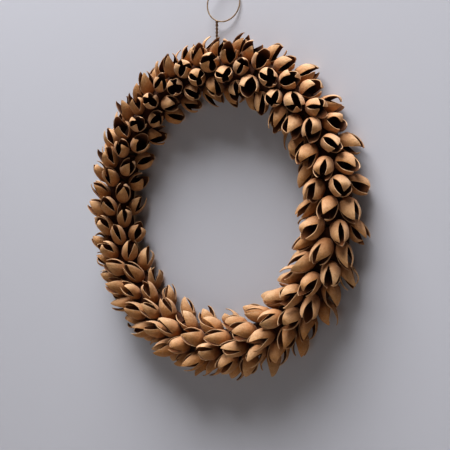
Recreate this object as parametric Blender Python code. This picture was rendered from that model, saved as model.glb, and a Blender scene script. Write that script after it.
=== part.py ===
"""A wreath of dried bakuli capsules on a flat-backed base ring, with its hanging loop.

Metres, +Z up. The wreath hangs on a wall that is at +Y, and its front looks along -Y.
The origin is the point inside the top of the hanging loop where a nail bears.
"""

import math
import random

import bmesh
import bpy
import numpy as np
from mathutils import Matrix, Vector

SEED = 7
GAP = 0.0003
TOP = math.pi / 2 + math.radians(2.45)
FRONT = np.array([0, -1, 0])

# Base ring: a D section swept round a circle, round in front and flat at the back.
RING_RADIUS = 0.1620
CORE_RADIUS = 0.0135
BACK_DEPTH = 0.0135
RING_STEPS = 50
ROUND_STEPS = 5

# Glue beds: one for each bunch, saddles over the front and sides of the ring.
BUNCHES = 25
BED_RADIUS = 0.0165
BED_LEG = 0.0070
BED_SPACE = 0.0036

# Capsules: the columns are angles round the section, 0 in front and 90 outside.
COLUMNS = (-90, -58, -25, 6, 36, 64, 91)
COLUMN_JITTER = 4
STAGGER = (0.31, 0.80)
PLACE_JITTER = 0.07
ROOT_RADIUS = 0.0156
LENGTH = (0.0305, 0.0345)
HALF_WIDTH = (0.0102, 0.0116)
LEAN = (56, 5)
YAW = 14
THREE_VALVES = 0.68

# Capsule profile, as shares of its length and of its half width.
STALK = 0.19
BELLY = 0.46
SHOULDER = (0.79, 0.84)
TIP = 0.30
FLARE = 0.0026
WALL_THICKNESS = 0.0014
CAVITY_FLOOR = 0.16
SLIT = 0.20

# Balls along a capsule's axis stand for it while the capsules are settled.
BALL_PLACES = np.array([0.22, 0.36, 0.50, 0.64, 0.78, 0.90])
BALL_RADII = np.array([0.60, 0.86, 1.00, 1.00, 0.86, 0.62])
BALL_FLARE = np.array([0.0, 0.0, 0.0, 0.0006, 0.0016, 0.0026])
BALL_SINK = np.array([0.0030, 0.0020, 0.0, 0.0, 0.0, 0.0])
BALL_SPACE = 0.0008
OWN_BED = 0.25
REACH = 0.066
ROUNDS = 300
HOLD_ROUNDS = 240
HOLD = 0.05
TIP_STEP = 0.0020
ROOT_STEP = 0.0010
ROOT_SHIFT = 0.0050
SIDE_LIMIT = 97
ENDS = (0.22, 0.91)

# Hanging loop of covered wire: a ring, its stem and a band round the base ring at TOP.
LOOP_RADIUS = 0.0215
LOOP_WIRE = 0.0010
LOOP_TURN = 12
LOOP_STEPS = 24
LOOP_CENTRE = Vector((0.0051, 0.0075, 0.2439))
KNOT = math.radians(-23.7)
STEM_PLACE = (-0.0075, 0.0110)
STEM_BEND = 0.2080
STEM_RADIUS = 0.0015
STEM_CLEAR = 0.0022
BAND_WIRE = 0.0010

WREATH_CENTRE = -(LOOP_CENTRE + Vector((0, 0, LOOP_RADIUS - LOOP_WIRE)))

SHELL_COLOUR = (0.42, 0.25, 0.12)
TWINE_COLOUR = (0.33, 0.21, 0.11)
WIRE_COLOUR = (0.45, 0.33, 0.22)


def clear_scene():
    """Remove every object that the scene starts with."""
    for obj in list(bpy.data.objects):
        bpy.data.objects.remove(obj, do_unlink=True)


def material(name, colour, roughness):
    """A Principled material of one colour."""
    made = bpy.data.materials.new(name)
    made.use_nodes = True
    shader = made.node_tree.nodes["Principled BSDF"]
    shader.inputs["Base Color"].default_value = (*colour, 1)
    shader.inputs["Roughness"].default_value = roughness
    shader.inputs["Metallic"].default_value = 0
    return made


def add_object(name, bm, collection, finish):
    """Turn a bmesh into an object."""
    bmesh.ops.recalc_face_normals(bm, faces=bm.faces)
    mesh = bpy.data.meshes.new(name)
    bm.to_mesh(mesh)
    bm.free()
    mesh.materials.append(finish)
    obj = bpy.data.objects.new(name, mesh)
    collection.objects.link(obj)
    return obj


def shade_round(obj):
    """Smooth shading, with the edges of the section left sharp."""
    obj.data.shade_smooth()
    obj.data.set_sharp_from_angle(angle=math.radians(50))


def outward_at(angle):
    """Direction from the wreath's centre to the ring, at angles from +X towards +Z."""
    return np.stack([np.cos(angle), np.zeros_like(angle), np.sin(angle)], -1)


def ring_angle(points):
    """Angle of points round the ring, from +X towards +Z."""
    return np.arctan2(points[..., 2], points[..., 0])


def draw_capsules():
    """Where each capsule is wanted, with its own size, from one seeded draw."""
    rng = random.Random(SEED)
    capsules = []
    for bunch in range(BUNCHES):
        for column, degrees in enumerate(COLUMNS):
            place = STAGGER[column % 2] + rng.uniform(-PLACE_JITTER, PLACE_JITTER)
            angle = TOP + (bunch + place) * 2 * math.pi / BUNCHES
            psi = math.radians(degrees + rng.uniform(-COLUMN_JITTER, COLUMN_JITTER))
            outward = outward_at(angle)
            clockwise = np.array([math.sin(angle), 0, -math.cos(angle)])
            normal = outward * math.sin(psi) + FRONT * math.cos(psi)
            side = np.cross(normal, clockwise)
            lean = math.radians(rng.gauss(*LEAN))
            yaw = math.radians(rng.gauss(0, YAW))
            along = clockwise * math.cos(yaw) + side * math.sin(yaw)
            capsules.append({
                "bunch": bunch,
                "root": outward * RING_RADIUS + normal * ROOT_RADIUS,
                "axis": normal * math.cos(lean) + along * math.sin(lean),
                "length": rng.uniform(*LENGTH),
                "half": rng.uniform(*HALF_WIDTH),
                "open": rng.random() ** 1.5,
                "valves": 3 if rng.random() < THREE_VALVES else 4,
                "turn": rng.uniform(0, 2 * math.pi),
            })
    return capsules


def bed_share(points, bunches):
    """How far each point is along its own bunch's part of the ring, 0 to 1 inside it."""
    share = (ring_angle(points) - TOP) * BUNCHES / (2 * math.pi) - bunches
    return (share + BUNCHES / 2) % BUNCHES - BUNCHES / 2


def keep_roots(roots, wanted, bunches):
    """Put roots back on their own bunch's bed, near where they were wanted."""
    shift = roots - wanted
    size = np.maximum(np.linalg.norm(shift, axis=1), 1e-9)
    roots = wanted + shift * np.minimum(1, ROOT_SHIFT / size)[:, None]
    outward = outward_at(ring_angle(roots))
    offset = roots - outward * RING_RADIUS
    psi = np.arctan2((offset * outward).sum(1), -offset[:, 1])
    limit = math.radians(SIDE_LIMIT)
    psi = np.clip(psi, -limit, limit)[:, None]
    share = np.clip(bed_share(roots, bunches), *ENDS)
    outward = outward_at(TOP + (bunches + share) * 2 * math.pi / BUNCHES)
    normal = outward * np.sin(psi) + FRONT * np.cos(psi)
    return outward * RING_RADIUS + normal * ROOT_RADIUS


def push_apart(balls, radius, first, second):
    """Moves that part the balls of neighbouring capsules."""
    between = balls[first][:, :, None] - balls[second][:, None]
    distance = np.linalg.norm(between, axis=3)
    least = radius[first][:, :, None] + radius[second][:, None] + BALL_SPACE
    push = between * (np.maximum(least - distance, 0) / distance * 0.25)[..., None]
    move = np.zeros_like(balls)
    np.add.at(move, first, push.sum(2))
    np.add.at(move, second, -push.sum(1))
    return move


def push_off_bed(balls, radius, axes, bunches):
    """Moves that lift balls off the glue beds, except a base in its own bed."""
    line = outward_at(ring_angle(balls)) * RING_RADIUS
    height = np.linalg.norm(balls - line, axis=2)
    away = (balls - line) / height[..., None]
    tilt = np.sqrt(np.clip(1 - (away * axes[:, None]).sum(2) ** 2, 0, 1))
    own = bed_share(balls, bunches[:, None]) > OWN_BED
    least = BED_RADIUS + BALL_SPACE - BALL_SINK * own + radius * tilt
    return away * (np.maximum(least - height, 0) * 0.5)[..., None]


def push_off_wall(balls, radius, axes):
    """Moves that keep capsules in front of the ring's flat back."""
    flat = np.sqrt(1 - axes[:, 1:2] ** 2)
    behind = balls[..., 1] + radius * flat - BACK_DEPTH + BALL_SPACE
    return FRONT * (np.maximum(behind, 0) * 0.5)[..., None]


def push_off_stem(balls, radius):
    """Moves that leave room for the hanging loop's stem at the top."""
    from_stem = balls * np.array([1, 1, 0]) - np.array([*STEM_PLACE, 0])
    near = np.linalg.norm(from_stem, axis=2)
    least = (radius + STEM_CLEAR + BALL_SPACE) * (balls[..., 2] > 0)
    return from_stem * (np.maximum(least - near, 0) / near * 0.5)[..., None]


def settle_capsules(capsules):
    """Lean the capsules as wanted, then part them until none crosses another."""
    length = np.array([c["length"] for c in capsules])[:, None]
    half = np.array([c["half"] for c in capsules])[:, None]
    opening = np.array([c["open"] for c in capsules])[:, None]
    bunches = np.array([c["bunch"] for c in capsules])
    wanted = np.array([c["root"] for c in capsules])
    axes = np.array([c["axis"] for c in capsules])
    radius = half * BALL_RADII + opening * BALL_FLARE
    spread = np.linalg.norm(wanted[:, None] - wanted[None], axis=2)
    first, second = np.where(np.triu(spread < REACH, 1))
    near_root = (1 - BALL_PLACES)[None, :, None]
    near_tip = BALL_PLACES[None, :, None]
    roots = wanted.copy()
    tips = roots + axes * length
    for turn in range(ROUNDS):
        if turn < HOLD_ROUNDS:
            tips = tips + (roots + axes * length - tips) * HOLD
        balls = roots[:, None] * near_root + tips[:, None] * near_tip
        now = (tips - roots) / length
        move = push_apart(balls, radius, first, second)
        move += push_off_bed(balls, radius, now, bunches)
        move += push_off_wall(balls, radius, now)
        move += push_off_stem(balls, radius)
        tips = tips + np.clip((move * near_tip).sum(1), -TIP_STEP, TIP_STEP)
        roots = roots + np.clip((move * near_root).sum(1), -ROOT_STEP, ROOT_STEP)
        roots = keep_roots(roots, wanted, bunches)
        reach = tips - roots
        tips = roots + reach / np.linalg.norm(reach, axis=1)[:, None] * length
    for capsule, root, tip in zip(capsules, roots, tips):
        capsule["root"] = root
        capsule["axis"] = (tip - root) / capsule["length"]
    return capsules


def capsule_matrix(capsule):
    """Takes a capsule from the origin, root down along Z, to its place."""
    place = Matrix.Translation(Vector(capsule["root"]))
    lean = Vector(capsule["axis"]).to_track_quat("Z", "Y").to_matrix().to_4x4()
    return place @ lean @ Matrix.Rotation(capsule["turn"], 4, "Z")


def top_face(bm):
    """The highest face of a bmesh."""
    return max(bm.faces, key=lambda face: face.calc_center_median().z)


def open_cup(bm, capsule):
    """The lower half of a capsule, as a cup with one rim face for each valve."""
    valves = capsule["valves"]
    half = capsule["half"]
    height = BELLY * capsule["length"]
    bmesh.ops.create_cone(
        bm, cap_ends=True, segments=valves, radius1=STALK * half, radius2=half,
        depth=height, matrix=Matrix.Translation((0, 0, height / 2)),
    )
    mouth = top_face(bm)
    slit = mouth.verts[0].co.xy.copy()
    bmesh.ops.subdivide_edges(bm, edges=mouth.edges, cuts=1)
    mouth = top_face(bm)
    for vert in mouth.verts:
        vert.co.xy = vert.co.xy.normalized() * half
    bmesh.ops.inset_region(bm, faces=[mouth], thickness=WALL_THICKNESS)
    idle = [v for v in mouth.verts if math.cos(valves * v.co.xy.angle_signed(slit)) < 0]
    spokes = [e for v in idle for e in v.link_edges if e not in mouth.edges]
    bmesh.ops.dissolve_edges(bm, edges=spokes)
    bmesh.ops.dissolve_verts(bm, verts=idle)
    level = [f for f in bm.faces if min(v.co.z for v in f.verts) > height - 1e-6]
    level.sort(key=lambda face: face.calc_center_median().xy.length)
    floor = bmesh.ops.poke(bm, faces=level[:1])["verts"][0]
    floor.co.z = CAVITY_FLOOR * capsule["length"]
    return level[1:]


def raise_valves(bm, rims, capsule):
    """Each rim face becomes a valve that narrows and closes in to its tip."""
    half = capsule["half"]
    flare = capsule["open"] * FLARE
    for rim in bmesh.ops.extrude_discrete_faces(bm, faces=rims)["faces"]:
        middle = rim.calc_center_median().xy.normalized()
        for vert in rim.verts:
            across = vert.co.xy - middle * vert.co.xy.dot(middle)
            vert.co.xy = (vert.co.xy - across * SLIT) * (SHOULDER[1] + flare / half)
            vert.co.z = SHOULDER[0] * capsule["length"]
        tip = bmesh.ops.poke(bm, faces=[rim])["verts"][0]
        tip.co.xy = middle * (TIP * half + flare)
        tip.co.z = capsule["length"]


def capsule_solid(capsule):
    """One capsule as a bmesh, in its place on the ring."""
    bm = bmesh.new()
    raise_valves(bm, open_cup(bm, capsule), capsule)
    bmesh.ops.triangulate(bm, faces=bm.faces)
    bmesh.ops.transform(bm, matrix=capsule_matrix(capsule), verts=bm.verts)
    return bm


def half_round(radius, leg):
    """Section points from the inner leg round the front to the outer leg, as (out, y)."""
    points = [(-radius, leg)]
    for step in range(ROUND_STEPS + 1):
        psi = math.radians(-90 + 180 * step / ROUND_STEPS)
        points.append((radius * math.sin(psi), -radius * math.cos(psi)))
    points.append((radius, leg))
    return points


def swept(section, start, angle, steps):
    """A closed section swept round the ring from one angle through another."""
    bm = bmesh.new()
    verts = [bm.verts.new((RING_RADIUS + out, y, 0)) for out, y in section]
    edges = [bm.edges.new(pair) for pair in zip(verts, verts[1:] + verts[:1])]
    turn = Matrix.Rotation(-start, 3, "Y")
    bmesh.ops.rotate(bm, verts=bm.verts, cent=(0, 0, 0), matrix=turn)
    bmesh.ops.spin(
        bm, geom=verts + edges, cent=(0, 0, 0), axis=(0, -1, 0), angle=angle, steps=steps,
    )
    bmesh.ops.remove_doubles(bm, verts=bm.verts, dist=1e-6)
    bmesh.ops.holes_fill(bm, edges=[edge for edge in bm.edges if edge.is_boundary])
    return bm


def base_ring(collection):
    """The flat-backed ring that carries everything."""
    section = half_round(CORE_RADIUS, BACK_DEPTH)
    bm = swept(section, 0, 2 * math.pi, RING_STEPS)
    finish = material("wound_twine", TWINE_COLOUR, 0.9)
    shade_round(add_object("base_ring", bm, collection, finish))


def glue_bed(bunch):
    """A saddle over the ring for one bunch, short of its neighbours at both ends."""
    step = 2 * math.pi / BUNCHES
    trim = BED_SPACE / RING_RADIUS
    inner = half_round(CORE_RADIUS + GAP, BED_LEG)
    outer = half_round(BED_RADIUS, BED_LEG)
    start = TOP + bunch * step + trim / 2
    return swept(inner + outer[::-1], start, step - trim, RING_STEPS // BUNCHES)


def joined(name, seat, pieces, collection, finish):
    """One solid from a seat and the pieces that grow from it, by one union."""
    helpers = bpy.data.collections.new(name + "_pieces")
    bpy.context.scene.collection.children.link(helpers)
    for number, bm in enumerate(pieces):
        add_object(f"{name}_piece_{number}", bm, helpers, finish)
    obj = add_object(name, seat, collection, finish)
    union = obj.modifiers.new("join", "BOOLEAN")
    union.operation = "UNION"
    union.operand_type = "COLLECTION"
    union.collection = helpers
    union.solver = "EXACT"
    graph = bpy.context.evaluated_depsgraph_get()
    solid = bpy.data.meshes.new_from_object(obj.evaluated_get(graph))
    obj.modifiers.clear()
    obj.data = solid
    for helper in list(helpers.objects):
        bpy.data.objects.remove(helper, do_unlink=True)
    bpy.data.collections.remove(helpers)
    return obj


def capsule_bunches(collection):
    """All the capsules, in bunches, each fused to its own glue bed."""
    capsules = settle_capsules(draw_capsules())
    for bunch in range(BUNCHES):
        name = f"capsule_bunch_{bunch + 1:02d}"
        pieces = [capsule_solid(c) for c in capsules if c["bunch"] == bunch]
        joined(name, glue_bed(bunch), pieces, collection, material(name, SHELL_COLOUR, 0.85))


def wire(points, radius, resolution, closed=False):
    """A round wire along points, as a closed bmesh."""
    curve = bpy.data.curves.new("wire", "CURVE")
    curve.dimensions = "3D"
    curve.bevel_depth = radius
    curve.bevel_resolution = resolution
    curve.use_fill_caps = not closed
    spline = curve.splines.new("POLY")
    spline.points.add(len(points) - 1)
    for point, place in zip(spline.points, points):
        point.co = (*place, 1)
    spline.use_cyclic_u = closed
    guide = bpy.data.objects.new("wire", curve)
    bpy.context.scene.collection.objects.link(guide)
    graph = bpy.context.evaluated_depsgraph_get()
    bm = bmesh.new()
    bm.from_mesh(bpy.data.meshes.new_from_object(guide.evaluated_get(graph)))
    bpy.data.objects.remove(guide, do_unlink=True)
    bmesh.ops.remove_doubles(bm, verts=bm.verts, dist=1e-6)
    return bm


def loop_point(angle):
    """A point on the loop's wire, at an angle from its foot towards +X."""
    turn = Matrix.Rotation(math.radians(LOOP_TURN), 3, "Z")
    return LOOP_CENTRE + turn @ Vector((math.sin(angle), 0, -math.cos(angle))) * LOOP_RADIUS


def stem_route():
    """Straight up behind the capsules, then forward to its knot on the loop."""
    x, y = STEM_PLACE
    foot = RING_RADIUS + CORE_RADIUS + GAP + BAND_WIRE
    return [Vector((x, y, foot)), Vector((x, y, STEM_BEND)), loop_point(KNOT)]


def band_route():
    """Round the front and sides of the base ring, between the first and last glue beds."""
    section = half_round(CORE_RADIUS + GAP + BAND_WIRE, BACK_DEPTH - BAND_WIRE)
    outward = Vector(outward_at(TOP))
    return [outward * (RING_RADIUS + out) + Vector((0, y, 0)) for out, y in section]


def hanging_loop(collection):
    """The loop, its stem and its band as one solid."""
    ring = [loop_point(2 * math.pi * step / LOOP_STEPS) for step in range(LOOP_STEPS)]
    pieces = [wire(stem_route(), STEM_RADIUS, 2), wire(band_route(), BAND_WIRE, 1)]
    finish = material("covered_wire", WIRE_COLOUR, 0.8)
    seat = wire(ring, LOOP_WIRE, 2, closed=True)
    shade_round(joined("hanging_loop", seat, pieces, collection, finish))


def build():
    """The whole wreath, hung from its origin."""
    clear_scene()
    wreath = bpy.data.collections.new("bakuli_wreath")
    bpy.context.scene.collection.children.link(wreath)
    base_ring(wreath)
    capsule_bunches(wreath)
    hanging_loop(wreath)
    hook = bpy.data.objects.new("hanging_point", None)
    wreath.objects.link(hook)
    for obj in wreath.objects:
        if obj is not hook:
            obj.parent = hook
            obj.location = WREATH_CENTRE


build()
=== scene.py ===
"""Looks of the dried bakuli wreath: curved, mottled capsules, a wound base ring and a wire loop.

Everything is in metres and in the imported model's frame. The wreath hangs on a wall at +Y.
"""

import math
import random

import bmesh
import bpy
import numpy as np
from mathutils import Matrix, Vector


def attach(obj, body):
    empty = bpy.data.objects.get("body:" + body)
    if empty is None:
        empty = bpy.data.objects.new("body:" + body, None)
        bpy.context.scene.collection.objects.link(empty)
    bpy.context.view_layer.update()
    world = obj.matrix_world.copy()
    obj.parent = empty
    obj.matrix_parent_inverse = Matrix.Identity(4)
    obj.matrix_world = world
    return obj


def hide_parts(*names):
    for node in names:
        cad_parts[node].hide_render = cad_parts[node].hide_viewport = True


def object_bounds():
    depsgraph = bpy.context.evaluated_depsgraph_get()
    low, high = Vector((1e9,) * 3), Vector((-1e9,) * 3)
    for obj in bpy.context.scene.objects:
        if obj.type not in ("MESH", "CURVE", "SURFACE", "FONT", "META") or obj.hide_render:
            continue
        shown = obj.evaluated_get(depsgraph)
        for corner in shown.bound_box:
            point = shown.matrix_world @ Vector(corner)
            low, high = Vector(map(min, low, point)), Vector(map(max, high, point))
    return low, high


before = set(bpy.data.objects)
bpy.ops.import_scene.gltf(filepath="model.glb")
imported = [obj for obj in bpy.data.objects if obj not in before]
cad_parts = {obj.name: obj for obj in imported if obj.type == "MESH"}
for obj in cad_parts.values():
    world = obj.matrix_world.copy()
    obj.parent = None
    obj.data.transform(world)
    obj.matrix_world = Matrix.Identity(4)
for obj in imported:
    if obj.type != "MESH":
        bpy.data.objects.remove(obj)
CAD_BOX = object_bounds()

# Points nearer than MERGE count as one, and TINY keeps a division from zero.
MERGE = 1e-5
TINY = 1e-9
SMOOTH_ANGLE = math.radians(50)
RING_AXIS = (0, -1, 0)

# The solids' own sizes and draw, so that each fine capsule stands where its solid stands.
# Angles here and below are in degrees, except those made with math.radians.
SEED = 7
GAP = 0.0003
TOP = math.pi / 2 + math.radians(2.45)
FRONT = np.array([0, -1, 0])
RING_RADIUS = 0.1620
CORE_RADIUS = 0.0135
BACK_DEPTH = 0.0135
BUNCHES = 25
BED_RADIUS = 0.0165
BED_LEG = 0.0070
BED_SPACE = 0.0036
COLUMNS = (-90, -58, -25, 6, 36, 64, 91)
COLUMN_JITTER = 4
STAGGER = (0.31, 0.80)
PLACE_JITTER = 0.07
ROOT_RADIUS = 0.0156
LENGTH = (0.0305, 0.0345)
HALF_WIDTH = (0.0102, 0.0116)
LEAN = (56, 5)
YAW = 14
OPEN_POWER = 1.5
THREE_VALVES = 0.68

# Balls that stand in for a capsule while it settles, at shares of its length from its root.
BALL_PLACES = np.array([0.22, 0.36, 0.50, 0.64, 0.78, 0.90])
BALL_RADII = np.array([0.60, 0.86, 1.00, 1.00, 0.86, 0.62])
BALL_FLARE = np.array([0.0, 0.0, 0.0, 0.0006, 0.0016, 0.0026])
BALL_SINK = np.array([0.0030, 0.0020, 0.0, 0.0, 0.0, 0.0])
BALL_SPACE = 0.0008
OWN_BED = 0.25

# How the capsules are parted: in rounds, by part of each overlap, and by no more than a step.
PART_SHARE = 0.25
LIFT_SHARE = 0.5
REACH = 0.066
ROUNDS = 300
HOLD_ROUNDS = 240
HOLD = 0.05
TIP_STEP = 0.0020
ROOT_STEP = 0.0010
ROOT_SHIFT = 0.0050
SIDE_LIMIT = 97
ENDS = (0.22, 0.91)

# The hanging loop and its stem, and the wreath's centre below them.
LOOP_RADIUS = 0.0215
LOOP_WIRE = 0.0010
LOOP_TURN = 12
LOOP_CENTRE = Vector((0.0051, 0.0075, 0.2439))
KNOT = math.radians(-23.7)
STEM_PLACE = (-0.0075, 0.0110)
STEM_BEND = 0.2080
STEM_CLEAR = 0.0022
BAND_WIRE = 0.0010
WREATH_CENTRE = -(LOOP_CENTRE + Vector((0, 0, LOOP_RADIUS - LOOP_WIRE)))

# Fine capsules. CUP_ROWS are (height, radius) shares of the length and of the half width.
# VALVE_ROWS are heights above the split, and each row lies between its broad and slim widths and
# between its closed and open places.
SHELL_SEED = 11
SHELL_LENGTH = sum(LENGTH) / 2
SHELL_HALF = sum(HALF_WIDTH) / 2
SHELL_SIDES = 12
CUP_ROWS = ((0.0, 0.16), (0.05, 0.47), (0.14, 0.75), (0.25, 0.93))
SPLIT = (0.25, 0.37)
VALVE_ROWS = (0.13, 0.32, 0.52, 0.72, 0.90, 1.0)
BROAD_WIDTHS = (0.96, 0.89, 0.78, 0.58, 0.30, 0.07)
SLIM_WIDTHS = (0.92, 0.79, 0.63, 0.44, 0.23, 0.04)
CLOSED_ROWS = (1.00, 0.97, 0.88, 0.70, 0.46, 0.22)
OPEN_ROWS = (1.02, 1.06, 1.07, 1.01, 0.88, 0.72)
VALVE_FLAT = (0.92, 0.90, 0.87, 0.84, 0.80, 0.78)
LEAST_BEND = 0.72
SPREAD_POWER = 0.7
LEAST_SPREAD = 0.40
SLIM_SHARE = (0.40, 0.55)
SLIM_JITTER = 0.35
OPENINGS = (0.05, 0.35, 0.65, 0.95)
VARIANTS = 5
VALVE_SEED = 100
OPENING_SEED = 10
VARIANT_SEED = 37
SIDE_SLACK = 1e-4
SUTURE = 0.955
SUTURE_COSINE = -0.99
SHELL_WALL = 0.0009

# How tips differ: moves out, aside and up in metres. A share of the tips, CURLED, curls in instead of
# moving out and up, by CURLS as (out, up, reach of the pull). UNEVEN moves every point a little.
TIP_PULL = (-0.0018, 0.0010)
TIP_LOOSE = 0.0020
TIP_SIDEWAYS = 0.0017
TIP_STRETCH = (-0.0030, 0.0002)
PULL_REACH = 0.016
CURLED = 0.2
CURLS = ((-0.0030, -0.0016, 0.011), (-0.0014, -0.0024, 0.006))
UNEVEN = 0.00040

# How whole capsules differ: in width, flatness, bow and twist.
WIDTH_SHARE = (0.88, 1.02)
SQUASH = 0.08
BOW = 1.4
TWIST = 15

# Packing under the capsules, and the wound base ring.
BED_SIDES = 24
BED_STEPS = 8
BED_EDGE = 0.0008
BED_EDGE_STEPS = 2
BED_CORNER = math.radians(60)
BED_TINT = 0.5
LUMP_SIZE = 0.006
LUMP_HEIGHT = 0.0022
LUMP_LEVEL = 0.1
TURNS = 300
TURN_ROWS = 4
TURN_SEAM = 4e-5
TWINE_GROOVE = 0.93
GROOVE_SHARE = 0.1
FRONT_ROUNDING = 0.999 * CORE_RADIUS
FRONT_STEPS = 8
TWINE_SLANT = 0.55
TWINE_LENGTH = 0.05
BACK_ROUNDING = 0.0035
BACK_STEPS = 3

# Hanging loop: one covered wire, doubled and twisted in the stem.
STRAND_RADIUS = 0.00085
STRAND_OFFSET = 0.00085
STRAND_STEP = 0.0010
STRAND_PITCH = 0.0085
LOOP_POINTS = 64
BAND_STEPS = 16
WRAP_PITCH = 0.0042
WIRE_RESOLUTION = 3

# Colours, linear.
SHELL_TAN = (0.60, 0.350, 0.160)
SHELL_HONEY = (0.50, 0.235, 0.070)
SHELL_BROWN = (0.24, 0.088, 0.020)
# Browner root colour, and painted shade near the root between the packed capsules.
SHELL_ROOT_AND_SHADE = (0.29, 0.095, 0.016)
# Pale dust in blotches, and also the painted light on surfaces that face up.
SHELL_DUST_AND_TOP_LIGHT = (0.62, 0.455, 0.325)
SHELL_SPOT = (0.10, 0.040, 0.015)
CUT_PALE = (0.60, 0.40, 0.245)
CUT_TAN = (0.40, 0.21, 0.095)
# Inside: dark brown with painted shade, near black deep in the hollow and lighter towards the tips.
HOLLOW_DEEP_SHADE = (0.035, 0.007, 0.0015)
HOLLOW_TIP = (0.30, 0.115, 0.040)
# Painted shade: the packing under the capsules is coloured as the deep shade between them.
PACKING_SHADE = (0.055, 0.015, 0.003)
TWINE_TAN = (0.36, 0.23, 0.11)
TWINE_BROWN = (0.22, 0.13, 0.06)
TWINE_DARK = (0.10, 0.055, 0.025)
WIRE_TAN = (0.40, 0.30, 0.215)
WIRE_BROWN = (0.17, 0.115, 0.075)

# Finishes are (roughness, specular level), and reliefs are (strength, distance) of a bump.
SHELL_FINISH = (0.85, 0.25)
SHELL_SHEEN = 0.12
SHELL_RELIEF = (0.35, 0.0003)
TWINE_FINISH = (0.9, 0.2)
TWINE_RELIEF = (0.7, 0.0004)
WIRE_FINISH = (0.8, 0.3)
WIRE_RELIEF = (0.6, 0.0002)
WALL_FINISH = (0.95, 0.2)
FLOOR_FINISH = (0.9, 0.2)

# Patterns on the shells. A share is the most that a pattern takes of the colour under it.
# Painted light: what faces up is blended towards the pale colour, as if lit from above, from the first
# facing given on.
# A shell darkens from the second root height down to the first, partly a browner root and partly painted
# shade between the packed capsules, and its hollow's painted shade gets lighter between the two given
# shares of its length.
TOP_LIGHT_SHARE = 0.7
TOP_LIGHT_FROM = -0.1
BLOTCHES = {"Scale": 150, "Spread": 0.16}
BLOTCH_SHARE = 0.42
DUST = {"Scale": 520, "Spread": 0.14}
DUST_SHARE = 0.25
STREAKS = {"Scale": 1100, "Length": 0.08}
STREAK_SHARE = 0.18
STREAK_HEIGHT = 0.5
SPOTS = {"Scale": 420, "Size": 0.22}
SPOT_SHARE = 0.6
DENTS = {"Scale": 260, "Detail": 1}
DENT_HEIGHT = 4
ROOT_SHADE_FADE = (0.003, 0.024)
ROOT_SHADE_SHARE = 0.85
HOLLOW_SHADE_FADE = (0.35, 0.95)

# Patterns on the twine and on the wire's paper, whose seam is PAPER_SEAM of a turn wide.
TWINE_BLOTCHES = {"Scale": 45, "Spread": 0.2}
THREADS = {"Scale": 2200, "Length": 1}
THREAD_SHARE = 0.55
# Painted shade in the grooves between turns of twine.
GROOVE_SHADE_POWER = 2
GROOVE_SHADE = 0.85
PAPER_BLOTCHES = {"Scale": 300, "Spread": 0.2}
PAPER_SHARE = 0.7
PAPER_SEAM = 0.22
PAPER_HEIGHT = 0.5

# Stage and light.
WALL_SIZE = 4
WALL_COLOUR = (0.53, 0.54, 0.605)
FLOOR_SIZE = 6
FLOOR_DROP = 0.9
FLOOR_COLOUR = (0.33, 0.31, 0.29)
KEY_PLACE = (-0.25, -0.95, 3.2)
KEY_SIZE = (2.6, 2.2)
KEY_POWER = 280
KEY_COLOUR = (1.0, 0.995, 0.98)
SKY_COLOUR = (1.0, 0.94, 0.87)
SKY_STRENGTH = 0.048
BACK_STRENGTH = 0.9
BACKDROP = (0.52, 0.52, 0.55)
WALL_CLEAR = 0.004

# Camera, fitted to the photograph's outlines.
CAMERA_AZIMUTH = 38.8
CAMERA_ELEVATION = -0.95
CAMERA_DISTANCE = 0.90
FRAME_PIXELS = 450
FOCAL_PIXELS = 754.9
WREATH_PIXEL = (216.1, 207.8)
SENSOR = 36


def outward_at(angle):
    """Direction from the wreath's centre to the ring, at angles from +X towards +Z."""
    return np.stack([np.cos(angle), np.zeros_like(angle), np.sin(angle)], -1)


def ring_angle(points):
    """Angle of points round the ring, from +X towards +Z."""
    return np.arctan2(points[..., 2], points[..., 0])


def draw_capsules():
    """Where each capsule is wanted, with its own size, from one seeded draw."""
    rng = random.Random(SEED)
    capsules = []
    for bunch in range(BUNCHES):
        for column, degrees in enumerate(COLUMNS):
            place = STAGGER[column % 2] + rng.uniform(-PLACE_JITTER, PLACE_JITTER)
            angle = TOP + (bunch + place) * 2 * math.pi / BUNCHES
            psi = math.radians(degrees + rng.uniform(-COLUMN_JITTER, COLUMN_JITTER))
            outward = outward_at(angle)
            clockwise = np.array([math.sin(angle), 0, -math.cos(angle)])
            normal = outward * math.sin(psi) + FRONT * math.cos(psi)
            side = np.cross(normal, clockwise)
            lean = math.radians(rng.gauss(*LEAN))
            yaw = math.radians(rng.gauss(0, YAW))
            along = clockwise * math.cos(yaw) + side * math.sin(yaw)
            capsules.append({
                "bunch": bunch,
                "root": outward * RING_RADIUS + normal * ROOT_RADIUS,
                "axis": normal * math.cos(lean) + along * math.sin(lean),
                "length": rng.uniform(*LENGTH),
                "half": rng.uniform(*HALF_WIDTH),
                "open": rng.random() ** OPEN_POWER,
                "valves": 3 if rng.random() < THREE_VALVES else 4,
                "turn": rng.uniform(0, 2 * math.pi),
            })
    return capsules


def bed_share(points, bunches):
    """How far each point is along its own bunch's part of the ring, 0 to 1 inside it."""
    share = (ring_angle(points) - TOP) * BUNCHES / (2 * math.pi) - bunches
    return (share + BUNCHES / 2) % BUNCHES - BUNCHES / 2


def keep_roots(roots, wanted, bunches):
    """Put roots back on their own bunch's bed, near where they were wanted."""
    shift = roots - wanted
    size = np.maximum(np.linalg.norm(shift, axis=1), TINY)
    roots = wanted + shift * np.minimum(1, ROOT_SHIFT / size)[:, None]
    outward = outward_at(ring_angle(roots))
    offset = roots - outward * RING_RADIUS
    psi = np.arctan2((offset * outward).sum(1), -offset[:, 1])
    limit = math.radians(SIDE_LIMIT)
    psi = np.clip(psi, -limit, limit)[:, None]
    share = np.clip(bed_share(roots, bunches), *ENDS)
    outward = outward_at(TOP + (bunches + share) * 2 * math.pi / BUNCHES)
    normal = outward * np.sin(psi) + FRONT * np.cos(psi)
    return outward * RING_RADIUS + normal * ROOT_RADIUS


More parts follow.
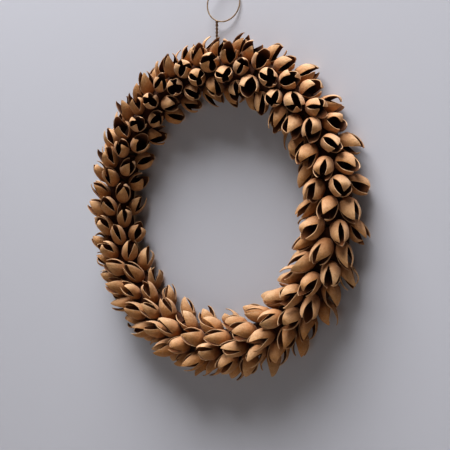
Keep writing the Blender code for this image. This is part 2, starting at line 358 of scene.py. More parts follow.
def push_apart(balls, radius, first, second):
    """Moves that part the balls of neighbouring capsules."""
    between = balls[first][:, :, None] - balls[second][:, None]
    distance = np.linalg.norm(between, axis=3)
    least = radius[first][:, :, None] + radius[second][:, None] + BALL_SPACE
    push = between * (np.maximum(least - distance, 0) / distance * PART_SHARE)[..., None]
    move = np.zeros_like(balls)
    np.add.at(move, first, push.sum(2))
    np.add.at(move, second, -push.sum(1))
    return move


def push_off_bed(balls, radius, axes, bunches):
    """Moves that lift balls off the glue beds, except a base in its own bed."""
    line = outward_at(ring_angle(balls)) * RING_RADIUS
    height = np.linalg.norm(balls - line, axis=2)
    away = (balls - line) / height[..., None]
    tilt = np.sqrt(np.clip(1 - (away * axes[:, None]).sum(2) ** 2, 0, 1))
    own = bed_share(balls, bunches[:, None]) > OWN_BED
    least = BED_RADIUS + BALL_SPACE - BALL_SINK * own + radius * tilt
    return away * (np.maximum(least - height, 0) * LIFT_SHARE)[..., None]


def push_off_wall(balls, radius, axes):
    """Moves that keep capsules in front of the ring's flat back."""
    flat = np.sqrt(1 - axes[:, 1:2] ** 2)
    behind = balls[..., 1] + radius * flat - BACK_DEPTH + BALL_SPACE
    return FRONT * (np.maximum(behind, 0) * LIFT_SHARE)[..., None]


def push_off_stem(balls, radius):
    """Moves that leave room for the hanging loop's stem at the top."""
    from_stem = balls * np.array([1, 1, 0]) - np.array([*STEM_PLACE, 0])
    near = np.linalg.norm(from_stem, axis=2)
    least = (radius + STEM_CLEAR + BALL_SPACE) * (balls[..., 2] > 0)
    return from_stem * (np.maximum(least - near, 0) / near * LIFT_SHARE)[..., None]


def settle_capsules(capsules):
    """Lean the capsules as wanted and part them, over a fixed number of rounds."""
    length = np.array([c["length"] for c in capsules])[:, None]
    half = np.array([c["half"] for c in capsules])[:, None]
    opening = np.array([c["open"] for c in capsules])[:, None]
    bunches = np.array([c["bunch"] for c in capsules])
    wanted = np.array([c["root"] for c in capsules])
    axes = np.array([c["axis"] for c in capsules])
    radius = half * BALL_RADII + opening * BALL_FLARE
    spread = np.linalg.norm(wanted[:, None] - wanted[None], axis=2)
    first, second = np.where(np.triu(spread < REACH, 1))
    near_root = (1 - BALL_PLACES)[None, :, None]
    near_tip = BALL_PLACES[None, :, None]
    roots = wanted.copy()
    tips = roots + axes * length
    for turn in range(ROUNDS):
        if turn < HOLD_ROUNDS:
            tips = tips + (roots + axes * length - tips) * HOLD
        balls = roots[:, None] * near_root + tips[:, None] * near_tip
        now = (tips - roots) / length
        move = push_apart(balls, radius, first, second)
        move += push_off_bed(balls, radius, now, bunches)
        move += push_off_wall(balls, radius, now)
        move += push_off_stem(balls, radius)
        tips = tips + np.clip((move * near_tip).sum(1), -TIP_STEP, TIP_STEP)
        roots = roots + np.clip((move * near_root).sum(1), -ROOT_STEP, ROOT_STEP)
        roots = keep_roots(roots, wanted, bunches)
        reach = tips - roots
        tips = roots + reach / np.linalg.norm(reach, axis=1)[:, None] * length
    for capsule, root, tip in zip(capsules, roots, tips):
        capsule["root"] = root
        capsule["axis"] = (tip - root) / capsule["length"]
    return capsules


def capsule_matrix(capsule):
    """Takes a capsule from the origin, root down along Z, to its place."""
    place = Matrix.Translation(WREATH_CENTRE + Vector(capsule["root"]))
    lean = Vector(capsule["axis"]).to_track_quat("Z", "Y").to_matrix().to_4x4()
    return place @ lean @ Matrix.Rotation(capsule["turn"], 4, "Z")


def deselect():
    """Leave nothing selected, so that an operator acts on the new piece alone."""
    if bpy.context.mode != "OBJECT":
        bpy.ops.object.mode_set(mode="OBJECT")
    bpy.ops.object.select_all(action="DESELECT")


def begin(name):
    """Name the primitive that was just added, and open it for editing."""
    obj = bpy.context.object
    obj.name = obj.data.name = name
    bpy.ops.object.transform_apply(location=True, rotation=True, scale=True)
    bpy.ops.object.mode_set(mode="EDIT")
    bpy.ops.mesh.select_mode(type="VERT")
    return obj


def pick(obj, wanted):
    """In edit mode, select the vertices that a test of their place accepts."""
    bm = bmesh.from_edit_mesh(obj.data)
    for part in (*bm.verts, *bm.edges, *bm.faces):
        part.select_set(False)
    for vert in bm.verts:
        if wanted(vert.co):
            vert.select_set(True)
    bm.select_flush_mode()
    bmesh.update_edit_mesh(obj.data)


def apply(obj, kind, **settings):
    """Add a modifier with its settings and apply it."""
    modifier = obj.modifiers.new(kind.lower(), kind)
    for key, value in settings.items():
        setattr(modifier, key, value)
    bpy.ops.object.modifier_apply(modifier=modifier.name)


def merge(threshold):
    """Make points that meet one."""
    bpy.ops.mesh.select_all(action="SELECT")
    bpy.ops.mesh.remove_doubles(threshold=threshold)


def spin(steps, angle, axis, dupli=False):
    """Spin the whole mesh round an axis through the origin, as one skin or as copies."""
    bpy.ops.mesh.select_all(action="SELECT")
    bpy.ops.mesh.spin(steps=steps, angle=angle, dupli=dupli, center=(0, 0, 0), axis=axis)


def face_alike():
    """Make all the faces point to the same side."""
    bpy.ops.mesh.select_all(action="SELECT")
    bpy.ops.mesh.normals_make_consistent(inside=False)


def add_object(name, data):
    """An object for a mesh, curve, light or camera, in the scene."""
    obj = bpy.data.objects.new(name, data)
    bpy.context.scene.collection.objects.link(obj)
    return obj


def join(pieces, whole):
    """Join pieces to one that keeps its name."""
    deselect()
    for piece in (*pieces, whole):
        piece.select_set(True)
    bpy.context.view_layer.objects.active = whole
    bpy.ops.object.join()


def points_of(mesh):
    """The place of every point of a mesh, one row each."""
    place = np.zeros(len(mesh.vertices) * 3, np.float32)
    mesh.vertices.foreach_get("co", place)
    return place.reshape(-1, 3)


def keep_numbers(mesh, name, domain, values):
    """Keep one number for each point or face, for a material to read."""
    values = np.ascontiguousarray(values, np.float32)
    mesh.attributes.new(name, "FLOAT", domain).data.foreach_set("value", values)


def keep_vectors(mesh, name, domain, values):
    """Keep three numbers for each point or face, for a material to read."""
    values = np.ascontiguousarray(values, np.float32).ravel()
    mesh.attributes.new(name, "FLOAT_VECTOR", domain).data.foreach_set("vector", values)


def grow_row(before, after):
    """Extrude the selected row of one valve and give the new row its place and shape.

    A row is (height, reach of its middle, half its width, its bulge).
    """
    rise, out = after[0] - before[0], after[1] - before[1]
    bpy.ops.mesh.extrude_region_move(TRANSFORM_OT_translate={"value": (out, 0, rise)})
    bpy.ops.transform.resize(
        value=(after[3] / before[3], after[2] / before[2], 1),
        center_override=(after[1], 0, after[0]),
    )


def valve_rows(valves, opening, rng):
    """Every row of a capsule's one valve, with the part of the cup below it."""
    edge = math.pi / valves
    split = rng.uniform(*SPLIT)
    spread = LEAST_SPREAD + (1 - LEAST_SPREAD) * opening ** SPREAD_POWER
    slimness = SLIM_SHARE[0] + SLIM_SHARE[1] * spread + rng.uniform(-SLIM_JITTER, SLIM_JITTER)
    slimness = min(max(slimness, 0), 1)
    rows = []
    for height, radius in (*CUP_ROWS, (split, 1.0)):
        reach = radius * SHELL_HALF
        bulge = reach * (1 - math.cos(edge))
        rows.append((height * SHELL_LENGTH, reach, reach * math.sin(edge), bulge))
    shapes = zip(VALVE_ROWS, BROAD_WIDTHS, SLIM_WIDTHS, CLOSED_ROWS, OPEN_ROWS, VALVE_FLAT)
    for rise, broad, slim, closed, opened, flat in shapes:
        height = split + (1 - split) * rise
        radius = closed + (opened - closed) * spread
        half = (broad + (slim - broad) * slimness) * math.sin(edge) * SHELL_HALF
        bend = max(radius, LEAST_BEND) * flat * SHELL_HALF
        bulge = bend - math.sqrt(bend ** 2 - half ** 2)
        rows.append((height * SHELL_LENGTH, radius * SHELL_HALF, half, bulge))
    return rows, split * SHELL_LENGTH


def pull_tip(middle, move, rise, reach):
    """Move the picked tip out or in and up or down, with its valve following."""
    bpy.ops.transform.translate(
        value=middle * move + Vector((0, 0, rise)),
        use_proportional_edit=True, use_proportional_connected=True,
        proportional_edit_falloff="SMOOTH", proportional_size=reach,
    )


def pull_tips(obj, valves, opening, rng):
    """Give each valve's tip its own place, and curl some of the tips inwards."""
    least, most = TIP_PULL[0] - TIP_LOOSE * opening, TIP_PULL[1] + TIP_LOOSE * opening
    for valve in range(valves):
        angle = 2 * math.pi * valve / valves
        middle = Vector((math.cos(angle), math.sin(angle), 0))
        near = math.cos(math.pi / valves)
        top = SHELL_LENGTH - MERGE
        pick(obj, lambda co: co.z > top and co.to_2d().normalized().dot(middle.to_2d()) > near)
        if rng.random() < CURLED:
            for move, rise, reach in CURLS:
                pull_tip(middle, move, rise, reach)
        else:
            pull_tip(middle, rng.uniform(least, most), rng.uniform(*TIP_STRETCH), PULL_REACH)
        aside = middle.cross(Vector((0, 0, 1)))
        pull_tip(aside, rng.uniform(-TIP_SIDEWAYS, TIP_SIDEWAYS), 0, PULL_REACH)


def face_outwards(obj):
    """Turn an open shell's faces outwards: the one at its root has to look down."""
    face_alike()
    root = min(bmesh.from_edit_mesh(obj.data).faces, key=lambda face: face.calc_center_median().z)
    if root.normal.z > 0:
        bpy.ops.mesh.flip_normals()


def master_shell(name, valves, opening, seed):
    """One split capsule: a valve is modelled, turned round the axis and joined up."""
    rng = random.Random(seed)
    deselect()
    bpy.ops.mesh.primitive_circle_add(
        vertices=SHELL_SIDES, radius=CUP_ROWS[0][1] * SHELL_HALF,
        rotation=(0, 0, math.pi / valves), fill_type="NOTHING",
    )
    obj = begin(name)
    edge = math.cos(math.pi / valves) - SIDE_SLACK
    pick(obj, lambda co: co.to_2d().normalized().x < edge)
    bpy.ops.mesh.delete(type="VERT")
    bpy.ops.mesh.select_all(action="SELECT")
    rows, split = valve_rows(valves, opening, rng)
    for before, after in zip(rows, rows[1:]):
        grow_row(before, after)
    spin(valves - 1, 2 * math.pi * (valves - 1) / valves, (0, 0, 1), dupli=True)
    merge(MERGE)
    pick(obj, lambda co: co.z < MERGE)
    bpy.ops.mesh.edge_face_add()
    seam = split + MERGE
    pick(obj, lambda co: (
        MERGE < co.z < seam and math.cos(valves * math.atan2(co.y, co.x)) < SUTURE_COSINE
    ))
    bpy.ops.transform.resize(value=(SUTURE, SUTURE, 1), center_override=(0, 0, 0))
    pull_tips(obj, valves, opening, rng)
    pick(obj, lambda co: co.z > MERGE)
    bpy.ops.transform.vertex_random(offset=UNEVEN, seed=seed, wait_for_input=False)
    face_outwards(obj)
    bpy.ops.object.mode_set(mode="OBJECT")
    apply(obj, "SUBSURF", levels=1, render_levels=1)
    faces = len(obj.data.polygons)
    apply(obj, "SOLIDIFY", thickness=SHELL_WALL, offset=-1, use_even_offset=True)
    mark_sides(obj.data, faces)
    bpy.ops.object.shade_smooth_by_angle(angle=SMOOTH_ANGLE)
    return obj


def mark_sides(mesh, outside):
    """Masks on a shell's faces: X for its inner wall and Y for its cut edges. Z is for the packing,
    coloured as painted shade.
    """
    count = len(mesh.polygons)
    sides = np.zeros((count, 3), np.float32)
    sides[outside:2 * outside, 0] = 1
    sides[2 * outside:, 1] = 1
    keep_vectors(mesh, "side", "FACE", sides)
    keep_grain(mesh)


def keep_grain(mesh):
    """Keep each point's place on the master, for the grain to follow."""
    keep_vectors(mesh, "grain", "POINT", points_of(mesh))


def mark_piece(mesh, tint, shift):
    """Give a copy its own shade, and its own stretch of the grain."""
    keep_numbers(mesh, "tint", "FACE", np.full(len(mesh.polygons), tint))
    place = np.zeros(len(mesh.vertices) * 3, np.float32)
    grain = mesh.attributes["grain"].data
    grain.foreach_get("vector", place)
    grain.foreach_set("vector", (place.reshape(-1, 3) + np.array(shift)).astype(np.float32).ravel())


def mark_upward(mesh):
    """Mark how far the surface faces up at each point, for the painted light from above."""
    normals = np.zeros(len(mesh.vertices) * 3, np.float32)
    mesh.vertex_normals.foreach_get("vector", normals)
    keep_numbers(mesh, "upward", "POINT", normals[2::3])


def bend_copy(mesh, rng):
    """Make a copy a little flatter, bowed and twisted, each by its own amount."""
    x, y, z = points_of(mesh).T
    flat = rng.uniform(-SQUASH, SQUASH)
    x, y = x * (1 + flat), y * (1 - flat)
    turn = math.radians(rng.uniform(-TWIST, TWIST)) * z / SHELL_LENGTH
    x, y = x * np.cos(turn) - y * np.sin(turn), x * np.sin(turn) + y * np.cos(turn)
    x = x + rng.uniform(-BOW, BOW) * z ** 2
    mesh.vertices.foreach_set("co", np.stack([x, y, z], 1).astype(np.float32).ravel())


def shell_copy(capsule, masters, rng):
    """A copy of a master drawn from those that open about as far, fitted to one capsule."""
    opening = min(OPENINGS, key=lambda share: abs(share - capsule["open"]))
    master = masters[capsule["valves"], opening, rng.randrange(VARIANTS)]
    mesh = master.data.copy()
    bend_copy(mesh, rng)
    mark_piece(mesh, rng.random(), (rng.uniform(-1, 1), rng.uniform(-1, 1), 0))
    across = capsule["half"] / SHELL_HALF * rng.uniform(*WIDTH_SHARE)
    size = Matrix.Diagonal((across, across, capsule["length"] / SHELL_LENGTH, 1))
    mesh.transform(capsule_matrix(capsule) @ size)
    mark_upward(mesh)
    return add_object("shell_copy", mesh)


def master_bed():
    """The packing under one bunch: a lumpy saddle over the front and sides of the ring."""
    deselect()
    bpy.ops.mesh.primitive_circle_add(
        vertices=BED_SIDES, radius=BED_RADIUS, fill_type="NOTHING", location=(RING_RADIUS, 0, 0),
    )
    obj = begin("master_bed")
    pick(obj, lambda co: co.y > MERGE)
    bpy.ops.mesh.delete(type="VERT")
    pick(obj, lambda co: abs(co.y) < MERGE)
    bpy.ops.mesh.extrude_vertices_move(TRANSFORM_OT_translate={"value": (0, BED_LEG, 0)})
    trim = BED_SPACE / RING_RADIUS
    spin(BED_STEPS, 2 * math.pi / BUNCHES - trim, RING_AXIS)
    face_alike()
    bpy.ops.object.mode_set(mode="OBJECT")
    obj.data.transform(Matrix.Rotation(-trim / 2, 4, "Y"))
    apply(obj, "SUBSURF", levels=1, render_levels=1)
    lumps = bpy.data.textures.new("lumps", "CLOUDS")
    lumps.noise_scale = LUMP_SIZE
    apply(obj, "DISPLACE", texture=lumps, strength=LUMP_HEIGHT, mid_level=LUMP_LEVEL)
    apply(obj, "SOLIDIFY", thickness=BED_RADIUS - CORE_RADIUS - GAP, offset=-1)
    apply(
        obj, "BEVEL", width=BED_EDGE, segments=BED_EDGE_STEPS, limit_method="ANGLE", angle_limit=BED_CORNER,
    )
    bpy.ops.object.shade_smooth_by_angle(angle=SMOOTH_ANGLE)
    keep_vectors(obj.data, "side", "FACE", np.tile([0, 0, 1], len(obj.data.polygons)))
    keep_grain(obj.data)
    return obj


def bed_copy(master, bunch):
    """The packing of one bunch, in its place."""
    mesh = master.data.copy()
    turn = Matrix.Rotation(-TOP - bunch * 2 * math.pi / BUNCHES, 4, "Y")
    mesh.transform(Matrix.Translation(WREATH_CENTRE) @ turn)
    mark_piece(mesh, BED_TINT, (bunch, 0, 0))
    return add_object(f"capsules_{bunch + 1:02d}", mesh)


def finish_piece(obj, node, finish):
    """Dress a piece, and let it ride in place of its solid."""
    obj.data.materials.clear()
    obj.data.materials.append(finish)
    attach(obj, "root")
    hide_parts(node)


def capsule_bunches(finish):
    """All the fine capsules, joined with their packing in one piece for each bunch."""
    rng = random.Random(SHELL_SEED)
    masters = {}
    for valves in (3, 4):
        for opening in OPENINGS:
            for variant in range(VARIANTS):
                seed = VALVE_SEED * valves + round(OPENING_SEED * opening) + VARIANT_SEED * variant
                name = f"master_{valves}_{round(100 * opening)}_{variant}"
                masters[valves, opening, variant] = master_shell(name, valves, opening, seed)
    bed = master_bed()
    capsules = settle_capsules(draw_capsules())
    for bunch in range(BUNCHES):
        piece = bed_copy(bed, bunch)
        copies = [shell_copy(c, masters, rng) for c in capsules if c["bunch"] == bunch]
        join(copies, piece)
        finish_piece(piece, f"capsule_bunch_{bunch + 1:02d}", finish)
    for master in (*masters.values(), bed):
        bpy.data.objects.remove(master, do_unlink=True)


def mark_turns(mesh):
    """Mark the grooves between turns, and give the fibres a place that slants along each turn."""
    place = points_of(mesh)
    angle = ring_angle(place)
    share = angle * TURNS / (2 * math.pi) % 1
    groove = np.abs(share - 0.5) > 0.5 - GROOVE_SHARE
    section = np.arctan2(np.hypot(place[:, 0], place[:, 2]) - RING_RADIUS, place[:, 1]) * CORE_RADIUS
    run = outward_at(angle + TWINE_SLANT * section / RING_RADIUS) * RING_RADIUS
    run[:, 1] = section * TWINE_LENGTH
    keep_numbers(mesh, "groove", "POINT", groove)
    keep_vectors(mesh, "run", "POINT", run)


def wound_ring(finish):
    """The base ring: one turn of twine round a flat-backed section, copied all the way round."""
    deselect()
    bpy.ops.mesh.primitive_plane_add(size=2 * CORE_RADIUS, location=(RING_RADIUS, 0, 0))
    obj = begin("wound_ring")
    bpy.ops.mesh.delete(type="ONLY_FACE")
    pick(obj, lambda co: co.y < 0)
    bpy.ops.mesh.bevel(offset=FRONT_ROUNDING, segments=FRONT_STEPS, affect="VERTICES")
    pick(obj, lambda co: co.y > CORE_RADIUS - MERGE)
    bpy.ops.mesh.bevel(offset=BACK_ROUNDING, segments=BACK_STEPS, affect="VERTICES")
    merge(MERGE)
    pitch = 2 * math.pi / TURNS
    spin(TURN_ROWS, pitch, RING_AXIS)
    low, high = GROOVE_SHARE * pitch, (1 - GROOVE_SHARE) * pitch
    pick(obj, lambda co: not low < math.atan2(co.z, co.x) < high)
    bpy.ops.transform.resize(
        value=(TWINE_GROOVE, TWINE_GROOVE, 1), center_override=(RING_RADIUS, 0, 0),
    )
    spin(TURNS - 1, 2 * math.pi - pitch, RING_AXIS, dupli=True)
    merge(TURN_SEAM)
    face_alike()
    bpy.ops.object.mode_set(mode="OBJECT")
    mark_turns(obj.data)
    obj.data.transform(Matrix.Translation(WREATH_CENTRE))
    bpy.ops.object.shade_smooth()
    finish_piece(obj, "base_ring", finish)


def loop_point(angle):
    """A point on the loop's wire, at an angle from its foot towards +X."""
    turn = Matrix.Rotation(math.radians(LOOP_TURN), 3, "Z")
    return LOOP_CENTRE + turn @ Vector((math.sin(angle), 0, -math.cos(angle))) * LOOP_RADIUS


def stem_route():
    """The stem's middle line: up behind the capsules, then forward to its knot on the loop."""
    x, y = STEM_PLACE
    foot = RING_RADIUS + CORE_RADIUS + GAP + BAND_WIRE
    corners = [Vector((x, y, foot)), Vector((x, y, STEM_BEND)), loop_point(KNOT)]
    route = []
    for start, end in zip(corners, corners[1:]):
        count = round((end - start).length / STRAND_STEP)
        route += [start.lerp(end, step / count) for step in range(count)]
    return route + [corners[-1]]


def twisted(route, phase):
    """One of the stem's two strands, wound round the middle line."""
    points = []
    for number, place in enumerate(route):
        angle = phase + number * STRAND_STEP / STRAND_PITCH * 2 * math.pi
        points.append(place + Vector((math.cos(angle), math.sin(angle), 0)) * STRAND_OFFSET)
    return points


def band_route(offset):
    """Round the front and sides of the base ring, between the first and last beds."""
    radius = CORE_RADIUS + GAP + STRAND_RADIUS
    leg = BACK_DEPTH - BAND_WIRE
    points = [(-radius, leg)]
    for step in range(BAND_STEPS + 1):
        psi = math.radians(-90 + 180 * step / BAND_STEPS)
        points.append((radius * math.sin(psi), -radius * math.cos(psi)))
    points.append((radius, leg))
    outward = Vector(outward_at(TOP))
    aside = Vector((outward.z, 0, -outward.x)) * offset
    return [outward * (RING_RADIUS + out) + aside + Vector((0, y, 0)) for out, y in points]


def wire(name, points, radius):
    """A round wire along points, as a mesh piece."""
    curve = bpy.data.curves.new(name, "CURVE")
    curve.dimensions = "3D"
    curve.bevel_depth = radius
    curve.bevel_resolution = WIRE_RESOLUTION
    curve.use_fill_caps = True
    spline = curve.splines.new("POLY")
    spline.points.add(len(points) - 1)
    for point, place in zip(spline.points, points):
        point.co = (*(place + WREATH_CENTRE), 1)
    obj = add_object(name, curve)
    deselect()
    obj.select_set(True)
    bpy.context.view_layer.objects.active = obj
    bpy.ops.object.convert(target="MESH")
    bpy.ops.object.shade_smooth()
    count_wraps(obj.data, points)
    return obj


def count_wraps(mesh, points):
    """Stretch the wire's own UV map, so that one unit along it is one turn of the paper."""
    length = sum((end - start).length for start, end in zip(points, points[1:]))
    layer = mesh.uv_layers["UVMap"].data
    place = np.zeros(len(layer) * 2, np.float32)
    layer.foreach_get("uv", place)
    place[::2] *= length / WRAP_PITCH
    layer.foreach_set("uv", place)


def hanging_loop(finish):
    """One wire: up the stem, round the loop and down again, and two bands round the ring."""
    route = stem_route()
    circle = [loop_point(KNOT + 2 * math.pi * step / LOOP_POINTS) for step in range(1, LOOP_POINTS)]
    line = twisted(route, 0) + circle + twisted(route, math.pi)[::-1]
    piece = wire("wire_loop", line, STRAND_RADIUS)
    bands = [wire(f"band_{side}", band_route(side * STRAND_OFFSET), STRAND_RADIUS) for side in (-1, 1)]
    join(bands, piece)
    finish_piece(piece, "hanging_loop", finish)


def node(tree, kind, inputs=(), **settings):
    """Add a shader node with its settings and with values or links for its inputs."""
    made = tree.nodes.new("ShaderNode" + kind)
    for key, value in settings.items():
        setattr(made, key, value)
    for key, value in dict(inputs).items():
        if isinstance(value, bpy.types.NodeSocket):
            tree.links.new(value, made.inputs[key])
        else:
            made.inputs[key].default_value = value
    return made


def calculate(tree, operation, *values):
    """The result of one Math node, on numbers or links."""
    return node(tree, "Math", dict(enumerate(values)), operation=operation).outputs[0]


def product(tree, value, factor):
    """A share times a number or another share."""
    return calculate(tree, "MULTIPLY", value, factor)


def total(tree, value, other):
    """A share plus a number or another share."""
    return calculate(tree, "ADD", value, other)


def ramp(tree, value, low, high, start=0, end=1):
    """Start where a value is at its low, end where it is at its high, and a mix between them."""
    ends = {"From Min": low, "From Max": high, "To Min": start, "To Max": end}
    return node(tree, "MapRange", {"Value": value, **ends}).outputs["Result"]


def read(tree, name, output="Fac"):
    """What the mesh code kept for each point or face under a name."""
    return node(tree, "Attribute", attribute_name=name).outputs[output]


def group(name, **values):
    """A node group that gives an amount for a place and its own values, and its two ends."""
    tree = bpy.data.node_groups.new(name, "ShaderNodeTree")
    tree.interface.new_socket("Place", in_out="INPUT", socket_type="NodeSocketVector")
    for label, value in values.items():
        socket = tree.interface.new_socket(label, in_out="INPUT", socket_type="NodeSocketFloat")
        socket.default_value = value
    tree.interface.new_socket("Amount", in_out="OUTPUT", socket_type="NodeSocketFloat")
    return tree, tree.nodes.new("NodeGroupInput").outputs, tree.nodes.new("NodeGroupOutput").inputs


def mottling_group():
    """Soft blotches from 0 to 1, at a scale and with a contrast."""
    tree, start, end = group("mottling", Scale=200, Spread=0.15)
    noise = node(
        tree, "TexNoise",
        {"Vector": start["Place"], "Scale": start["Scale"], "Detail": 4, "Roughness": 0.6},
    ).outputs["Fac"]
    low = calculate(tree, "SUBTRACT", 0.5, start["Spread"])
    high = total(tree, 0.5, start["Spread"])
    tree.links.new(ramp(tree, noise, low, high), end["Amount"])
    return tree


def fibres_group():
    """Fine streaks that run along the place's Z, from 0 to 1."""
    tree, start, end = group("fibres", Scale=900, Length=0.1)
    stretch = node(tree, "CombineXYZ", {"X": 1, "Y": 1, "Z": start["Length"]}).outputs[0]
    place = node(tree, "VectorMath", {0: start["Place"], 1: stretch}, operation="MULTIPLY").outputs[0]
    noise = node(
        tree, "TexNoise", {"Vector": place, "Scale": start["Scale"], "Detail": 2, "Roughness": 0.5},
    ).outputs["Fac"]
    tree.links.new(ramp(tree, noise, 0.3, 0.7), end["Amount"])
    return tree


def specks_group():
    """Small scattered spots: 1 on a spot and 0 elsewhere."""
    tree, start, end = group("specks", Scale=400, Size=0.2)
    cells = node(tree, "TexVoronoi", {"Vector": start["Place"], "Scale": start["Scale"]})
    tree.links.new(ramp(tree, cells.outputs["Distance"], start["Size"], 0), end["Amount"])
    return tree


def use(tree, made, **inputs):
    """Place a node group in a material, with its values, and give its one output."""
    holder = node(tree, "Group", node_tree=made)
    for key, value in inputs.items():
        if isinstance(value, bpy.types.NodeSocket):
            tree.links.new(value, holder.inputs[key])
        else:
            holder.inputs[key].default_value = value
    return holder.outputs[0]


def blend(tree, share, first, second):
    """Mix two colours, each a value or a link, by a share."""
    mixed = node(tree, "Mix", data_type="RGBA")
    for index, value in ((0, share), (6, first), (7, second)):
        if isinstance(value, bpy.types.NodeSocket):
            tree.links.new(value, mixed.inputs[index])
        else:
            mixed.inputs[index].default_value = value if index == 0 else (*value, 1)
    return mixed.outputs[2]


def material(name, roughness, specular):
    """A new node material, with its tree and its shader."""
    made = bpy.data.materials.new(name)
    made.use_nodes = True
    shader = made.node_tree.nodes["Principled BSDF"]
    shader.inputs["Roughness"].default_value = roughness
    shader.inputs["Specular IOR Level"].default_value = specular
    return made, made.node_tree, shader


def link_finish(tree, shader, colour, height, relief):
    """Link a shader's colour, and a height that its bump raises by a relief."""
    strength, distance = relief
    tree.links.new(colour, shader.inputs["Base Color"])
    bump = node(tree, "Bump", {"Strength": strength, "Distance": distance, "Height": height})
    tree.links.new(bump.outputs[0], shader.inputs["Normal"])


def shell_material(mottling, fibres, specks):
    """Dried shell: powdery tan outside, paler where it faces up as painted light, darker near its root
    partly as painted shade, pale along the cuts, and dark inside with painted shade that lightens near its
    tips.
    """
    made, tree, shader = material("dried_shell", *SHELL_FINISH)
    shader.inputs["Sheen Weight"].default_value = SHELL_SHEEN
    sides = node(tree, "SeparateXYZ", {0: read(tree, "side", "Vector")}).outputs
    place = read(tree, "grain", "Vector")
    height = node(tree, "SeparateXYZ", {0: place}).outputs["Z"]
    outer = blend(tree, read(tree, "tint"), SHELL_TAN, SHELL_HONEY)
    # Painted light: surfaces that face up are paler, as if lit from above.
    top_light = ramp(tree, read(tree, "upward"), TOP_LIGHT_FROM, 1, 0, TOP_LIGHT_SHARE)
    outer = blend(tree, top_light, outer, SHELL_DUST_AND_TOP_LIGHT)
    blotches = use(tree, mottling, Place=place, **BLOTCHES)
    outer = blend(tree, product(tree, blotches, BLOTCH_SHARE), outer, SHELL_BROWN)
    dust = use(tree, mottling, Place=place, **DUST)
    outer = blend(tree, product(tree, dust, DUST_SHARE), outer, SHELL_DUST_AND_TOP_LIGHT)
    streaks = use(tree, fibres, Place=place, **STREAKS)
    outer = blend(tree, product(tree, streaks, STREAK_SHARE), outer, SHELL_BROWN)
    # Darker towards the root: partly a browner root, partly painted shade between the packed capsules.
    near_root = ramp(tree, height, *ROOT_SHADE_FADE, ROOT_SHADE_SHARE, 0)
    outer = blend(tree, near_root, outer, SHELL_ROOT_AND_SHADE)
    spots = use(tree, specks, Place=place, **SPOTS)
    outer = blend(tree, product(tree, spots, SPOT_SHARE), outer, SHELL_SPOT)
    # Painted shade inside the hollow, deepest far from the tips.
    near_tip = ramp(tree, height, *(share * SHELL_LENGTH for share in HOLLOW_SHADE_FADE))
    inner = blend(tree, near_tip, HOLLOW_DEEP_SHADE, HOLLOW_TIP)
    cut = blend(tree, blotches, CUT_PALE, CUT_TAN)
    colour = blend(tree, sides["X"], outer, inner)
    colour = blend(tree, sides["Y"], colour, cut)
    # The packing is painted as the shade in the gaps between capsules.
    colour = blend(tree, sides["Z"], colour, PACKING_SHADE)
    dents = node(tree, "TexNoise", {"Vector": place, **DENTS}).outputs["Fac"]
    relief = total(tree, product(tree, streaks, STREAK_HEIGHT), dust)
    relief = total(tree, relief, product(tree, dents, DENT_HEIGHT))
    link_finish(tree, shader, colour, relief, SHELL_RELIEF)
    return made


def twine_material(mottling, fibres):
    """Jute twine: dull brown, with slanted fibres along each turn and painted shade in the grooves between
    turns.
    """
    made, tree, shader = material("jute_twine", *TWINE_FINISH)
    place = node(tree, "TexCoord").outputs["Object"]
    blotches = use(tree, mottling, Place=place, **TWINE_BLOTCHES)
    colour = blend(tree, blotches, TWINE_TAN, TWINE_BROWN)
    threads = use(tree, fibres, Place=read(tree, "run", "Vector"), **THREADS)
    colour = blend(tree, product(tree, threads, THREAD_SHARE), colour, TWINE_DARK)
    # Painted shade in the grooves between turns.
    groove_shade = calculate(tree, "POWER", read(tree, "groove"), GROOVE_SHADE_POWER)
    colour = blend(tree, product(tree, groove_shade, GROOVE_SHADE), colour, TWINE_DARK)
    link_finish(tree, shader, colour, threads, TWINE_RELIEF)
    return made


def wire_material(mottling):
    """Paper-covered wire: matt taupe, with the paper's edge winding round it."""
    made, tree, shader = material("paper_covered_wire", *WIRE_FINISH)
    place = node(tree, "TexCoord").outputs["Object"]
    unrolled = node(tree, "UVMap", uv_map="UVMap").outputs[0]
    along = node(tree, "SeparateXYZ", {0: unrolled}).outputs
    wrap = calculate(tree, "FRACT", total(tree, along["X"], along["Y"]))
    seam = ramp(tree, wrap, PAPER_SEAM, 0)
    blotches = use(tree, mottling, Place=place, **PAPER_BLOTCHES)
    colour = blend(tree, product(tree, blotches, PAPER_SHARE), WIRE_TAN, WIRE_BROWN)
    colour = blend(tree, product(tree, seam, PAPER_SHARE), colour, WIRE_BROWN)
    height = total(tree, wrap, product(tree, blotches, PAPER_HEIGHT))
    link_finish(tree, shader, colour, height, WIRE_RELIEF)
    return made


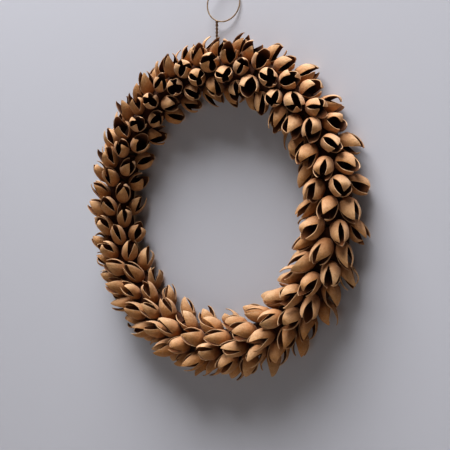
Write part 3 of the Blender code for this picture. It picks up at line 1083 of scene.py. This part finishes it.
def wall_and_floor():
    """A plain wall right behind the wreath, unseen from its back, and a plain floor.

    The wall lets light through to what touches it, so that the ring's back is lit from behind.
    """
    lo, hi = CAD_BOX
    deselect()
    bpy.ops.mesh.primitive_plane_add(
        size=WALL_SIZE, location=(0, hi.y + GAP, 0), rotation=(math.pi / 2, 0, 0),
    )
    wall = bpy.context.object
    wall.name = "wall"
    made, tree, shader = material("wall_paint", *WALL_FINISH)
    shader.inputs["Base Color"].default_value = (*WALL_COLOUR, 1)
    clear = node(tree, "BsdfTransparent")
    behind = node(tree, "NewGeometry").outputs["Backfacing"]
    path = node(tree, "LightPath")
    near = calculate(tree, "LESS_THAN", path.outputs["Ray Length"], WALL_CLEAR)
    unseen = calculate(tree, "SUBTRACT", 1, path.outputs["Is Camera Ray"])
    open_to = calculate(tree, "MAXIMUM", behind, product(tree, near, unseen))
    either = node(tree, "MixShader", {0: open_to, 1: shader.outputs[0], 2: clear.outputs[0]})
    tree.links.new(either.outputs[0], tree.nodes["Material Output"].inputs["Surface"])
    wall.data.materials.append(made)
    bpy.ops.mesh.primitive_plane_add(size=FLOOR_SIZE, location=(0, 0, lo.z - FLOOR_DROP))
    floor = bpy.context.object
    floor.name = "floor"
    made, _, shader = material("floor_paint", *FLOOR_FINISH)
    shader.inputs["Base Color"].default_value = (*FLOOR_COLOUR, 1)
    floor.data.materials.append(made)


def area_light(name, place, size, power, colour):
    """A soft oblong light that looks at the wreath."""
    light = bpy.data.lights.new(name, "AREA")
    light.shape = "RECTANGLE"
    light.size, light.size_y = size
    light.energy = power
    light.color = colour
    obj = add_object(name, light)
    obj.location = WREATH_CENTRE + Vector(place)
    obj.rotation_euler = (-Vector(place)).to_track_quat("-Z", "Y").to_euler()


def studio():
    """A large soft light high in front, a weak one from all sides of the front, and a strong one behind."""
    area_light("key", KEY_PLACE, KEY_SIZE, KEY_POWER, KEY_COLOUR)
    world = bpy.data.worlds.new("studio")
    world.use_nodes = True
    tree = world.node_tree
    sky = tree.nodes["Background"]
    sky.inputs["Color"].default_value = (*SKY_COLOUR, 1)
    direction = node(tree, "SeparateXYZ", {0: node(tree, "TexCoord").outputs["Generated"]})
    behind = calculate(tree, "GREATER_THAN", direction.outputs["Y"], 0)
    strength = ramp(tree, behind, 0, 1, SKY_STRENGTH, BACK_STRENGTH)
    tree.links.new(strength, sky.inputs["Strength"])
    backdrop = node(tree, "Background", {"Color": (*BACKDROP, 1)})
    seen = node(tree, "LightPath").outputs["Is Camera Ray"]
    either = node(tree, "MixShader", {0: seen, 1: sky.outputs[0], 2: backdrop.outputs[0]})
    tree.links.new(either.outputs[0], tree.nodes["World Output"].inputs["Surface"])
    bpy.context.scene.world = world
    bpy.context.scene.view_settings.view_transform = "Standard"
    bpy.context.scene.view_settings.look = "Medium High Contrast"


def camera():
    """The photograph's view: from the right, and very slightly from below."""
    azimuth, rise = math.radians(CAMERA_AZIMUTH), math.radians(CAMERA_ELEVATION)
    back = Vector((math.sin(azimuth), -math.cos(azimuth), math.tan(rise))).normalized()
    forward = -back
    right = forward.cross(Vector((0, 0, 1))).normalized()
    pan = math.atan((WREATH_PIXEL[0] - FRAME_PIXELS / 2) / FOCAL_PIXELS)
    tilt = math.atan((WREATH_PIXEL[1] - FRAME_PIXELS / 2) / FOCAL_PIXELS)
    forward, right = (Matrix.Rotation(pan, 3, "Z") @ axis for axis in (forward, right))
    forward = Matrix.Rotation(tilt, 3, right) @ forward
    lens = bpy.data.cameras.new("camera")
    lens.sensor_width = SENSOR
    lens.lens = SENSOR * FOCAL_PIXELS / FRAME_PIXELS
    obj = add_object("camera", lens)
    stand = Matrix((right, right.cross(forward), -forward)).transposed().to_4x4()
    stand.translation = WREATH_CENTRE + back * CAMERA_DISTANCE
    obj.matrix_world = stand
    bpy.context.scene.camera = obj


def dress():
    """The whole wreath, with its stage, lights and camera."""
    camera()
    studio()
    wall_and_floor()
    mottling, fibres, specks = mottling_group(), fibres_group(), specks_group()
    capsule_bunches(shell_material(mottling, fibres, specks))
    wound_ring(twine_material(mottling, fibres))
    hanging_loop(wire_material(mottling))


dress()
